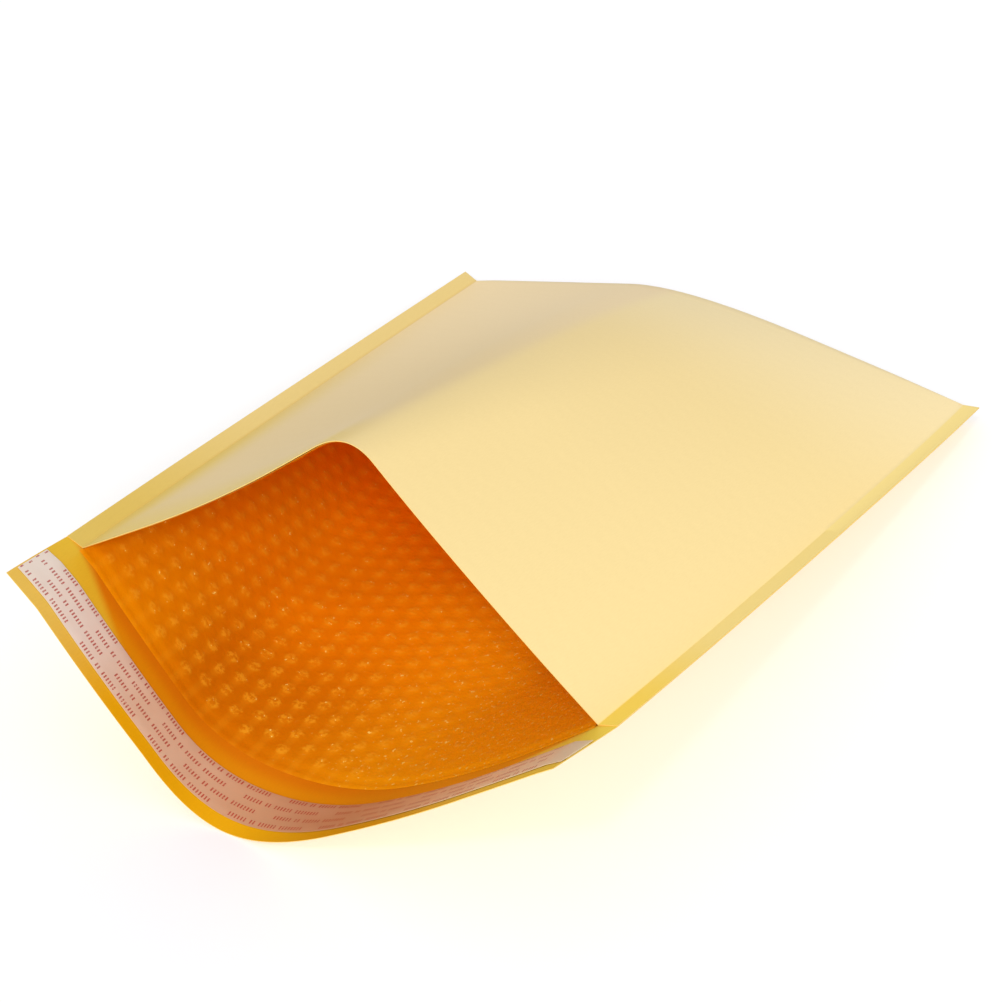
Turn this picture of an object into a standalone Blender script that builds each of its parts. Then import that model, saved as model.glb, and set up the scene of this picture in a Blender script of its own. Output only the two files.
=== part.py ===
"""A padded mailer, open at the mouth and lying on its back.

The kraft web is folded at the far end and heat sealed down both sides. Its back panel runs on
past the mouth as the closing flap, which carries an adhesive strip under a peel-off cover. A bubble
film of the same outline lines the pouch.

X runs across the mailer, Y from the flap to the folded end, Z up. A section is a polyline of
(x, z) points that runs from the left seam to the right one. All lengths are in metres.
"""

import math

import bmesh
import bpy
import numpy as np

# The mailer laid flat
INNER_WIDTH = 0.277
BODY_LENGTH = 0.3765
FLAP_LENGTH = 0.0415
SEAM_WIDTH = 0.008

# Paper, film and strips
PAPER_THICKNESS = 0.0003
FILM_THICKNESS = 0.0006
BUBBLE_HEIGHT = 0.0028
BUBBLE_PITCH = 0.0103
FILM_MARGIN = 0.006
FILM_SETBACK = 0.001
ADHESIVE_WIDTH = 0.014
ADHESIVE_THICKNESS = 0.0002
COVER_WIDTH = 0.020
COVER_THICKNESS = 0.0002
COVER_MARGIN = 0.0065
STRIP_END_MARGIN = 0.0006
CLEARANCE = 0.0003

# How the back panel lies: a flat middle on the floor, and two wings up to the seams
SEAM_HEIGHT_AT_MOUTH = 0.0712
SEAM_HEIGHT_AT_FOLD = 0.0089
SEAM_HEIGHT_AT_FLAP_END = 0.0792
FLAT_WIDTH_AT_MOUTH = 0.060
FLAT_WIDTH_AT_FOLD = 0.223
FLAT_WIDTH_AT_FLAP_END = 0.035
BEND_REACH_AT_MOUTH = 0.045
BEND_REACH_AT_FOLD = 0.063
LEFT_BOW_AT_MOUTH = -0.001
LEFT_BOW_AT_FLAP_END = -0.001
RIGHT_BOW_AT_MOUTH = 0.0048
RIGHT_BOW_AT_FLAP_END = 0.0027

# The reach of a bend that takes up half of each run beside it, as the wings' bends do
HALF_OF_EACH_RUN = math.inf

# Shares of the inner width, from the left seam, at which the panels bend
FLAT_MIDDLE_SHARE_AT_MOUTH = 0.4505
FLAT_MIDDLE_SHARE_AT_FOLD = 0.446
FLAT_MIDDLE_SHARE_AT_FLAP_END = 0.4514
RIDGE_SHARE_AT_MOUTH = 0.5128
RIDGE_SHARE_AT_FOLD = 0.435

# How the front panel arches, and how far the rounded fold starts before the full length
RIDGE_REACH_AT_MOUTH = 0.0155
RIDGE_REACH_AT_FOLD = 0.070
LEFT_SAG_AT_MOUTH = 0.0041
FOLD_ROUNDING = 0.006

# How far the seam bands lean from the middle between their two panels to the wing's own line
SEAM_LEAN = 0.46

# Facets: the bubbles are close packed, so their columns lie closer than their pitch
COLUMN_SPACING = BUBBLE_PITCH * math.sqrt(3) / 2
COLUMNS = round(INNER_WIDTH / COLUMN_SPACING)
PAPER_STATIONS = 12
CORNER_STEPS = 12
FOLD_STEPS = 3
LENGTH_PASSES = 6

# Largest share of the room between two facing films that one bubble takes
BUBBLE_SHARE = 0.28

FOLD_START = BODY_LENGTH - FOLD_ROUNDING

KRAFT = {"colour": (0.93, 0.70, 0.35, 1.0), "roughness": 0.62}
FILM = {"colour": (0.86, 0.32, 0.03, 1.0), "roughness": 0.22}
ADHESIVE = {"colour": (0.85, 0.78, 0.60, 1.0), "roughness": 0.35}
COVER = {"colour": (0.86, 0.74, 0.68, 1.0), "roughness": 0.45}


def clear_scene():
    for scene_object in list(bpy.data.objects):
        bpy.data.objects.remove(scene_object, do_unlink=True)


def mix(first, second, share):
    return first * (1 - share) + second * share


def unit(vector):
    return vector / np.linalg.norm(vector)


def length_of(points):
    return np.linalg.norm(np.diff(points, axis=0), axis=1).sum()


def rounded(points, reaches):
    """The polyline through the points, each inner corner cut by a curve that starts its reach away.

    The curve starts half-way along a run that is shorter than twice the reach.
    """
    pieces = [points[:1]]
    shares = np.linspace(0, 1, CORNER_STEPS)[:, None]
    for before, corner, after, reach in zip(points, points[1:], points[2:], reaches):
        start = corner + unit(before - corner) * min(reach, np.linalg.norm(before - corner) / 2)
        end = corner + unit(after - corner) * min(reach, np.linalg.norm(after - corner) / 2)
        pieces.append(mix(mix(start, corner, shares), mix(corner, end, shares), shares))
    return np.vstack(pieces + [points[-1:]])


def at_columns(section):
    """The section's points at equal steps of paper, one for each column."""
    steps = np.linalg.norm(np.diff(section, axis=0), axis=1)
    along = np.concatenate([[0], np.cumsum(steps)]) / steps.sum()
    shares = np.linspace(0, 1, COLUMNS + 1)
    return np.column_stack([np.interp(shares, along, section[:, axis]) for axis in (0, 1)])


def bowed(low, high, bow):
    """The middle of a wing from its low to its high end, pushed out and down by its bow."""
    across = unit(high - low)
    normal = np.array([across[1], -across[0]]) * np.sign(across[0])
    return (low + high) / 2 + normal * bow


def back_section(heights, flat_width, middle, reach, bows):
    """The back panel: seam heights left and right, flat middle on the floor, one paper width in all."""
    paper = INNER_WIDTH
    centre = INNER_WIDTH * (middle - 0.5)
    for _ in range(LENGTH_PASSES):
        left_wing = middle * paper - flat_width / 2
        right_wing = (1 - middle) * paper - flat_width / 2
        left_run = math.sqrt(max(left_wing**2 - heights[0] ** 2, 0)) + flat_width / 2
        right_run = math.sqrt(max(right_wing**2 - heights[1] ** 2, 0)) + flat_width / 2
        left = np.array([centre - left_run, heights[0]])
        right = np.array([centre + right_run, heights[1]])
        flat_left = np.array([centre - flat_width / 2, 0.0])
        flat_right = np.array([centre + flat_width / 2, 0.0])
        corners = [
            left,
            bowed(flat_left, left, bows[0]),
            flat_left,
            flat_right,
            bowed(flat_right, right, bows[1]),
            right,
        ]
        reaches = [HALF_OF_EACH_RUN, reach, reach, HALF_OF_EACH_RUN]
        section = rounded(np.array(corners), reaches)
        paper += INNER_WIDTH - length_of(section)
    return at_columns(section)


def front_section(left, right, ridge, reach, sag):
    """The front panel: from seam to seam over one rounded ridge, with a sag to the left of it."""
    paper = INNER_WIDTH
    chord = np.linalg.norm(right - left)
    along = (right - left) / chord
    up = np.array([-along[1], along[0]])
    for _ in range(LENGTH_PASSES):
        left_leg = ridge * paper
        right_leg = (1 - ridge) * paper
        foot = (left_leg**2 - right_leg**2 + chord**2) / (2 * chord)
        rise = math.sqrt(max(left_leg**2 - foot**2, 0))
        top = left + along * foot + up * rise
        corners = [left, bowed(left, top, sag), top, right]
        section = rounded(np.array(corners), [HALF_OF_EACH_RUN, reach])
        paper += INNER_WIDTH - length_of(section)
    return at_columns(section)


def pouch_back(share):
    """The back panel's section, a share of the way from the mouth to the fold."""
    return back_section(
        [mix(SEAM_HEIGHT_AT_MOUTH, SEAM_HEIGHT_AT_FOLD, share)] * 2,
        mix(FLAT_WIDTH_AT_MOUTH, FLAT_WIDTH_AT_FOLD, share),
        mix(FLAT_MIDDLE_SHARE_AT_MOUTH, FLAT_MIDDLE_SHARE_AT_FOLD, share),
        mix(BEND_REACH_AT_MOUTH, BEND_REACH_AT_FOLD, share),
        [mix(LEFT_BOW_AT_MOUTH, 0, share), mix(RIGHT_BOW_AT_MOUTH, 0, share)],
    )


def pouch_front(share, back):
    """The front panel's section over the back panel's seams."""
    ridge = mix(RIDGE_SHARE_AT_MOUTH, RIDGE_SHARE_AT_FOLD, share)
    reach = mix(RIDGE_REACH_AT_MOUTH, RIDGE_REACH_AT_FOLD, share)
    sag = mix(LEFT_SAG_AT_MOUTH, 0, share)
    return front_section(back[0], back[-1], ridge, reach, sag)


def flap_section(share):
    """The flap's section, a share of the way from the mouth to the flap's edge."""
    return back_section(
        [mix(SEAM_HEIGHT_AT_MOUTH, SEAM_HEIGHT_AT_FLAP_END, share)] * 2,
        mix(FLAT_WIDTH_AT_MOUTH, FLAT_WIDTH_AT_FLAP_END, share),
        mix(FLAT_MIDDLE_SHARE_AT_MOUTH, FLAT_MIDDLE_SHARE_AT_FLAP_END, share),
        BEND_REACH_AT_MOUTH,
        [
            mix(LEFT_BOW_AT_MOUTH, LEFT_BOW_AT_FLAP_END, share),
            mix(RIGHT_BOW_AT_MOUTH, RIGHT_BOW_AT_FLAP_END, share),
        ],
    )


def mouth_places(mouth, fold):
    """How far the panel's mouth edge is drawn in along Y, so that each line of paper keeps its length."""
    drop = ((mouth - fold) ** 2).sum(axis=1)
    return FOLD_START - np.sqrt(FOLD_START**2 - drop)


def mitres(points, closed):
    """For each point, the move that shifts its two segments by one to their left-hand side."""
    steps = np.diff(points, axis=0, append=points[:1])
    if not closed:
        steps[-1] = steps[-2]
    steps = steps / np.linalg.norm(steps, axis=1, keepdims=True)
    normals = np.column_stack([-steps[:, 1], steps[:, 0]])
    before = np.roll(normals, 1, axis=0)
    if not closed:
        before[0] = normals[0]
    return (before + normals) / (1 + (before * normals).sum(axis=1, keepdims=True))


def panel_mitres(back, front):
    """The inward moves of the back and the front panel, which share their two seam corners."""
    loop = np.vstack([back, front[-2:0:-1]])
    moves = mitres(loop, closed=True)
    front_moves = np.vstack([moves[:1], moves[: len(back) - 2 : -1]])
    return moves[: len(back)], front_moves


def seam_directions(back, front):
    """The unit vectors along which the left and right seam bands leave the pouch."""
    directions = []
    for edge, inner in ((0, 1), (-1, -2)):
        wing = unit(back[edge] - back[inner])
        middle = unit(wing + unit(front[edge] - front[inner]))
        directions.append(unit(mix(middle, wing, SEAM_LEAN)))
    return directions


def with_bands(section, directions):
    """The section with the outer edges of both seam bands at its ends."""
    left = section[0] + directions[0] * SEAM_WIDTH
    right = section[-1] + directions[1] * SEAM_WIDTH
    return np.vstack([left, section, right])


def placed(section, along):
    """Points in space of a section whose columns lie at these distances along Y."""
    if len(section) == len(along) + 2:
        along = np.concatenate([along[:1], along, along[-1:]])
    return np.column_stack([section[:, 0], along, section[:, 1]])


def round_end(first, second):
    """Rows of a half-round end, from just past the first row to just before the second."""
    rows = []
    half = (first - second) / 2
    bulge = np.zeros_like(first)
    bulge[:, 1] = np.linalg.norm(half, axis=1)
    for step in range(1, FOLD_STEPS + 1):
        angle = math.pi * step / (FOLD_STEPS + 1)
        rows.append((first + second) / 2 + half * math.cos(angle) + bulge * math.sin(angle))
    return rows


class Pouch:
    """The sections of both panels at each station from the mouth to the fold."""

    def __init__(self):
        self.shares = np.linspace(0, 1, PAPER_STATIONS + 1)
        self.backs = [pouch_back(share) for share in self.shares]
        self.fronts = [pouch_front(s, b) for s, b in zip(self.shares, self.backs)]
        self.back_mouth = mouth_places(self.backs[0], self.backs[-1])
        self.front_mouth = mouth_places(self.fronts[0], self.fronts[-1])
        pairs = list(zip(self.backs, self.fronts))
        self.moves = [panel_mitres(back, front) for back, front in pairs]
        self.bands = [seam_directions(back, front) for back, front in pairs]

    def inner_rows(self, station, inset):
        """Back and front rows of a layer that lies this far inside the paper's inner face."""
        back_moves, front_moves = self.moves[station]
        share = self.shares[station]
        back = self.backs[station] + back_moves * inset
        front = self.fronts[station] + front_moves * inset
        return (
            placed(back, mix(self.back_mouth, FOLD_START, share)),
            placed(front, mix(self.front_mouth, FOLD_START, share)),
        )

    def outer_rows(self, station):
        """Back and front rows of the paper's outer face, with the seam bands."""
        share = self.shares[station]
        back = with_bands(self.backs[station], self.bands[station])
        front = with_bands(self.fronts[station], self.bands[station])
        back = back - mitres(back, closed=False) * PAPER_THICKNESS
        front = front + mitres(front, closed=False) * PAPER_THICKNESS
        return (
            placed(back, mix(self.back_mouth, FOLD_START, share)),
            placed(front, mix(self.front_mouth, FOLD_START, share)),
        )


class Flap:
    """The flap's inner face at any distance past the mouth, with its band edges."""

    def __init__(self, pouch):
        self.mouth = pouch.backs[0]
        self.mouth_places = pouch.back_mouth
        self.bands = pouch.bands[0]

    def section(self, distance):
        share = distance / FLAP_LENGTH
        section = flap_section(share)
        left = unit(mix(self.bands[0], unit(section[0] - section[1]), share))
        right = unit(mix(self.bands[1], unit(section[-1] - section[-2]), share))
        return with_bands(section, (left, right))

    def places(self, distance):
        drop = ((self.section(distance)[1:-1] - self.mouth) ** 2).sum(axis=1)
        return self.mouth_places - np.sqrt(distance**2 - drop)

    def row(self, distance, lift):
        """Points on a face that lies this far above the paper's inner face."""
        section = self.section(distance)
        section = section + mitres(section, closed=False) * lift
        return placed(section, self.places(distance))


class Skin:
    """The points and triangles of one closed body."""

    def __init__(self):
        self.points = []
        self.faces = []

    def row(self, points):
        first = len(self.points)
        self.points.extend(points)
        return list(range(first, len(self.points)))

    def face(self, *corners):
        if len(set(corners)) == len(corners):
            self.faces.append(corners)

    def strip(self, first, second):
        """Two triangles for each step along a pair of rows."""
        for a, b, c, d in zip(first, first[1:], second[1:], second):
            self.face(a, b, c)
            self.face(a, c, d)

    def strips(self, rows):
        for first, second in zip(rows, rows[1:]):
            self.strip(first, second)

    def make(self, name, finish, shift):
        mesh = bpy.data.meshes.new(name)
        mesh.from_pydata([tuple(point + shift) for point in self.points], [], self.faces)
        shape = bmesh.new()
        shape.from_mesh(mesh)
        bmesh.ops.triangulate(shape, faces=[face for face in shape.faces if len(face.verts) > 3])
        bmesh.ops.recalc_face_normals(shape, faces=shape.faces)
        shape.to_mesh(mesh)
        shape.free()
        mesh.materials.append(material_of(name, finish))
        made = bpy.data.objects.new(name, mesh)
        bpy.context.scene.collection.objects.link(made)
        return made


def material_of(name, finish):
    material = bpy.data.materials.new(name + "_finish")
    material.use_nodes = True
    shader = material.node_tree.nodes["Principled BSDF"]
    shader.inputs["Base Color"].default_value = finish["colour"]
    shader.inputs["Roughness"].default_value = finish["roughness"]
    shader.inputs["Metallic"].default_value = 0.0
    return material


def strip_edges():
    """Distances past the mouth of the cover's two edges, with the adhesive's two between them."""
    far = FLAP_LENGTH - COVER_MARGIN
    dry_edge = (COVER_WIDTH - ADHESIVE_WIDTH) / 2
    return [far, far - dry_edge, far - COVER_WIDTH + dry_edge, far - COVER_WIDTH]


def joined(row, ends):
    """The row between the first and the last point of another row."""
    return [ends[0], *row, ends[-1]]


def lay_inside(skin, rows, first_back):
    """One inner face of the pouch, from the back's mouth edge round the fold to the front's.

    The panels meet in one point at each seam. The mouth row of the front panel is returned.
    """
    backs = [first_back, *[skin.row(back) for back, _ in rows[1:]]]
    fronts = [joined(skin.row(front[1:-1]), back) for (_, front), back in zip(rows, backs)]
    fold = [joined(skin.row(row[1:-1]), backs[-1]) for row in round_end(*rows[-1])]
    skin.strips([*backs, *fold, *reversed(fronts)])
    return fronts[0]


def close_side(skin, end, top, under, backs, fronts, fold):
    """The cut edge of one side: the flap's one ply, the two plies of the seam band, the fold's end."""
    skin.strip([row[end] for row in top], [row[end] for row in [*under, backs[0]]])
    mouth_corners = (backs[0], backs[1], fronts[1], fronts[0], top[-1])
    skin.face(*[row[end] for row in mouth_corners])
    skin.strip([row[end] for row in backs[1:]], [row[end] for row in fronts[1:]])
    skin.face(*[row[end] for row in [backs[-1], *fold, fronts[-1]]])


def kraft_envelope(pouch, flap):
    """One folded sheet: two panels, both seam bands and the flap."""
    skin = Skin()
    steps = [FLAP_LENGTH, *strip_edges(), 0]
    top = [skin.row(flap.row(step, 0)) for step in steps]
    under = [skin.row(flap.row(step, -PAPER_THICKNESS)) for step in steps[:-1]]
    skin.strips(top)
    skin.strip(top[0], under[0])
    inside = [pouch.inner_rows(station, 0) for station in range(PAPER_STATIONS + 1)]
    mouth_front = lay_inside(skin, inside, top[-1][1:-1])
    outside = [pouch.outer_rows(station) for station in range(PAPER_STATIONS + 1)]
    backs = [skin.row(back) for back, _ in outside]
    fronts = [skin.row(front) for _, front in outside]
    fold = [skin.row(row) for row in round_end(*outside[-1])]
    skin.strips([*under, *backs, *fold, *reversed(fronts)])
    skin.strip(joined(mouth_front, top[-1]), fronts[0])
    for end in (0, -1):
        close_side(skin, end, top, under, backs, fronts, fold)
    return skin


def bubble_heights(back, front, station, last):
    """How far each column's point stands off the film: bubbles on every other point, staggered."""
    room = np.linalg.norm(front - back, axis=1)
    heights = np.minimum(BUBBLE_HEIGHT, room * BUBBLE_SHARE)
    heights[[0, -1]] = 0
    heights[(np.arange(COLUMNS + 1) + station) % 2 == 0] = 0
    if station in (0, last):
        heights[:] = 0
    return heights[:, None]


def film_rows(pouch, inset):
    """Each paper station's back and front rows at this inset, the first one set back from the mouth."""
    rows = [pouch.inner_rows(station, inset) for station in range(PAPER_STATIONS + 1)]
    setback = FILM_SETBACK * PAPER_STATIONS / FOLD_START
    rows[0] = tuple(mix(first, second, setback) for first, second in zip(rows[0], rows[1]))
    return rows


def between(rows, share):
    """Back and front rows at a share of the film's length, on the straight runs between stations."""
    place = share * PAPER_STATIONS
    station = min(int(place), PAPER_STATIONS - 1)
    return [mix(a, b, place - station) for a, b in zip(rows[station], rows[station + 1])]


def bubbled_rows(pouch):
    """Back and front rows of the film's bubble side, two for each bubble along the length."""
    valleys = film_rows(pouch, CLEARANCE + FILM_THICKNESS)
    crests = film_rows(pouch, CLEARANCE + FILM_THICKNESS * 2)
    first = FILM_MARGIN / FOLD_START
    steps = 2 * round((FOLD_START - FILM_MARGIN) / BUBBLE_PITCH)
    shares = [0, *np.linspace(first, 1, steps + 1)]
    rows = []
    for station, share in enumerate(shares):
        low = between(valleys, share)
        high = between(crests, share)
        heights = bubble_heights(*low, station, len(shares) - 1)
        row = []
        for valley, crest in zip(low, high):
            outward = crest - valley
            reach = np.linalg.norm(outward, axis=1, keepdims=True)
            row.append(valley + outward / reach * heights)
        rows.append(row)
    return rows


def bubble_liner(pouch):
    """One folded bubble film, its bubbles towards the pouch's room."""
    skin = Skin()
    rims = []
    for rows in (film_rows(pouch, CLEARANCE), bubbled_rows(pouch)):
        back = skin.row(rows[0][0])
        rims.append((back, lay_inside(skin, rows, back)))
    (outer_back, outer_front), (inner_back, inner_front) = rims
    skin.strip(outer_back, inner_back)
    skin.strip(outer_front, inner_front)
    return skin


def strip_on_flap(flap, edges, lift, thickness):
    """A flat strip across the whole flap, with a row of facets between each two of these distances."""
    skin = Skin()
    faces = []
    for height in (lift, lift + thickness):
        rows = [flap.row(distance, height) for distance in edges]
        for row in rows:
            row[0] = mix(row[0], row[1], STRIP_END_MARGIN / SEAM_WIDTH)
            row[-1] = mix(row[-1], row[-2], STRIP_END_MARGIN / SEAM_WIDTH)
        faces.append([skin.row(row) for row in rows])
    under, top = faces
    skin.strips(under)
    skin.strips(top)
    skin.strip(under[0], top[0])
    skin.strip(under[-1], top[-1])
    for end in (0, -1):
        skin.strip([row[end] for row in under], [row[end] for row in top])
    return skin


def adhesive_strip(flap):
    return strip_on_flap(flap, strip_edges()[1:-1], CLEARANCE, ADHESIVE_THICKNESS)


def release_liner(flap):
    lift = CLEARANCE + ADHESIVE_THICKNESS + CLEARANCE
    return strip_on_flap(flap, strip_edges(), lift, COVER_THICKNESS)


def floor_centre(skin):
    """The move that puts the middle of the skin's footprint, at its lowest level, at the origin."""
    points = np.array(skin.points)
    low, high = points.min(axis=0), points.max(axis=0)
    return -np.array([(low[0] + high[0]) / 2, (low[1] + high[1]) / 2, low[2]])


def main():
    clear_scene()
    pouch = Pouch()
    flap = Flap(pouch)
    envelope = kraft_envelope(pouch, flap)
    shift = floor_centre(envelope)
    envelope.make("kraft_envelope", KRAFT, shift)
    bubble_liner(pouch).make("bubble_liner", FILM, shift)
    adhesive_strip(flap).make("adhesive_strip", ADHESIVE, shift)
    release_liner(flap).make("release_liner", COVER, shift)


main()
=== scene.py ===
"""The looks of a padded mailer that lies open on its back.

The kraft sheet, the bubble film and the peel-off cover are modelled again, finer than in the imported
solids and in the same place. X runs across the mailer, Y from the flap to the folded end, Z up.
A section is a polyline of (x, z) points from the left seam to the right one. Every point also keeps
its place on the flat sheet: how far across it is from the left seam, and how far along it is from
the mouth, with the flap on the minus side. All lengths are in metres.
"""

from __future__ import annotations

import logging
import math
from dataclasses import astuple, dataclass
from enum import Enum

import bmesh
import bpy
import numpy as np
from mathutils import Matrix, Vector

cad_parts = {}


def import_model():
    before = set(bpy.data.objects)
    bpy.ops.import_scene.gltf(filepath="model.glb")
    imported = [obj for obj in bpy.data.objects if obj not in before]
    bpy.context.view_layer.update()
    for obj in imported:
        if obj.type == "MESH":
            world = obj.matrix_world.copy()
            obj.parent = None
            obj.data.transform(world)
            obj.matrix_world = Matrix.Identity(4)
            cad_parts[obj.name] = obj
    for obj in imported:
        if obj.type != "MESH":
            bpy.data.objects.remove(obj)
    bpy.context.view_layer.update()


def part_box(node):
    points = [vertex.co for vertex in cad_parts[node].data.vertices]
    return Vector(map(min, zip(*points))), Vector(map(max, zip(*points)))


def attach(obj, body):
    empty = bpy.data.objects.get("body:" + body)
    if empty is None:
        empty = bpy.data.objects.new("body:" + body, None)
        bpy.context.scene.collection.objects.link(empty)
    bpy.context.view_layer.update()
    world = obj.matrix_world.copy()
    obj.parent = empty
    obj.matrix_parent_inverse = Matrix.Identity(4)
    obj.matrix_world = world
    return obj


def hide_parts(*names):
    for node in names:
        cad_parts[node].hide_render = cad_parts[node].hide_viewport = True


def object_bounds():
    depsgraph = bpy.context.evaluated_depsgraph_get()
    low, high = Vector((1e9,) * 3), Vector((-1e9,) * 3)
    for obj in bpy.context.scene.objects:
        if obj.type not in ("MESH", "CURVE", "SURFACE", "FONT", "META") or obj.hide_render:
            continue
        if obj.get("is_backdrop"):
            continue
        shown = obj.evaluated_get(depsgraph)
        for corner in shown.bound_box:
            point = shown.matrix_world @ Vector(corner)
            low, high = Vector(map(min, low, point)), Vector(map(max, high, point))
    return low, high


LOG = logging.getLogger("mailer")
PLACE = "place"
PUFF = "puff"

Colour = tuple[float, float, float]
Direction = tuple[float, float, float]
# Where a soft step is 0 and where it is 1
Span = tuple[float, float]
# How strong a bump is and how high
Relief = tuple[float, float]
# The scale, the detail and the roughness of a noise
Grain = tuple[float, float, float]
# How much more a mark shows by the mouth, where the painted light falls, and how much it shows everywhere
Gain = tuple[float, float]
Values = np.ndarray | float


def mix(first: Values, second: Values, share: Values) -> Values:
    """The value that lies this share of the way from the first to the second."""
    return first * (1 - share) + second * share


def unit(vector: np.ndarray) -> np.ndarray:
    """The vector at length one."""
    return vector / np.linalg.norm(vector)


def length_of(line: np.ndarray) -> float:
    """The length of a polyline."""
    return np.linalg.norm(np.diff(line, axis=0), axis=1).sum()


def smooth_step(low: float, high: float, value: Values) -> Values:
    """A soft rise from 0 at the low value to 1 at the high one."""
    share = np.clip((value - low) / (high - low), 0, 1)
    return share * share * (3 - 2 * share)


def from_screen(red: int, green: int, blue: int) -> Colour:
    """The linear colour of an 8-bit screen colour, by the curve that screens follow."""
    shares = (level / 255 for level in (red, green, blue))
    return tuple(((s + 0.055) / 1.055) ** 2.4 if s > 0.04045 else s / 12.92 for s in shares)


@dataclass(frozen=True)
class FlatMailer:
    """Sizes of the mailer as it comes off the line, laid flat."""

    inner_width: float = 0.277
    body_length: float = 0.3765
    flap_length: float = 0.0415
    seam_width: float = 0.008
    paper: float = 0.0003
    fold_rounding: float = 0.006
    first_bubble: float = 0.0078
    bubble_pitch: float = 0.0103

    @property
    def fold_start(self) -> float:
        """Where the rounded fold begins, from the mouth."""
        return self.body_length - self.fold_rounding

    @property
    def row_spacing(self) -> float:
        """How far apart the rows of bubbles are, which run from the mouth to the fold."""
        return self.bubble_pitch * math.sqrt(3) / 2


@dataclass(frozen=True)
class Lie:
    """How one section of the back panel lies: a flat middle on the floor and a wing up to each seam."""

    seam_height: float
    flat_width: float
    flat_middle_share: float
    bend_reach: float
    left_bow: float
    right_bow: float

    def towards(self, other: Lie, share: float) -> Lie:
        """The lie that is this share of the way to another one."""
        return Lie(*(mix(a, b, share) for a, b in zip(astuple(self), astuple(other))))


@dataclass(frozen=True)
class Ridge:
    """Where the front panel bends over its ridge, how softly, and how far its left side sags."""

    place_share: float
    reach: float
    left_sag: float

    def towards(self, other: Ridge, share: float) -> Ridge:
        """The ridge that is this share of the way to another one."""
        return Ridge(*(mix(a, b, share) for a, b in zip(astuple(self), astuple(other))))


MOUTH_LIE = Lie(
    seam_height=0.0712,
    flat_width=0.060,
    flat_middle_share=0.4505,
    bend_reach=0.045,
    left_bow=-0.001,
    right_bow=0.0048,
)
FOLD_LIE = Lie(
    seam_height=0.0089,
    flat_width=0.223,
    flat_middle_share=0.446,
    bend_reach=0.063,
    left_bow=0.0,
    right_bow=0.0,
)
FLAP_END_LIE = Lie(
    seam_height=0.0792,
    flat_width=0.035,
    flat_middle_share=0.4514,
    bend_reach=0.045,
    left_bow=-0.001,
    right_bow=0.0027,
)
MOUTH_RIDGE = Ridge(place_share=0.5128, reach=0.0155, left_sag=0.0041)
FOLD_RIDGE = Ridge(place_share=0.435, reach=0.070, left_sag=0.0)


class Panel(Enum):
    """The two panels of the pouch."""

    BACK = "back"
    FRONT = "front"


@dataclass
class Row:
    """A row of points, each with its place on the flat sheet."""

    points: np.ndarray
    places: np.ndarray


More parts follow.
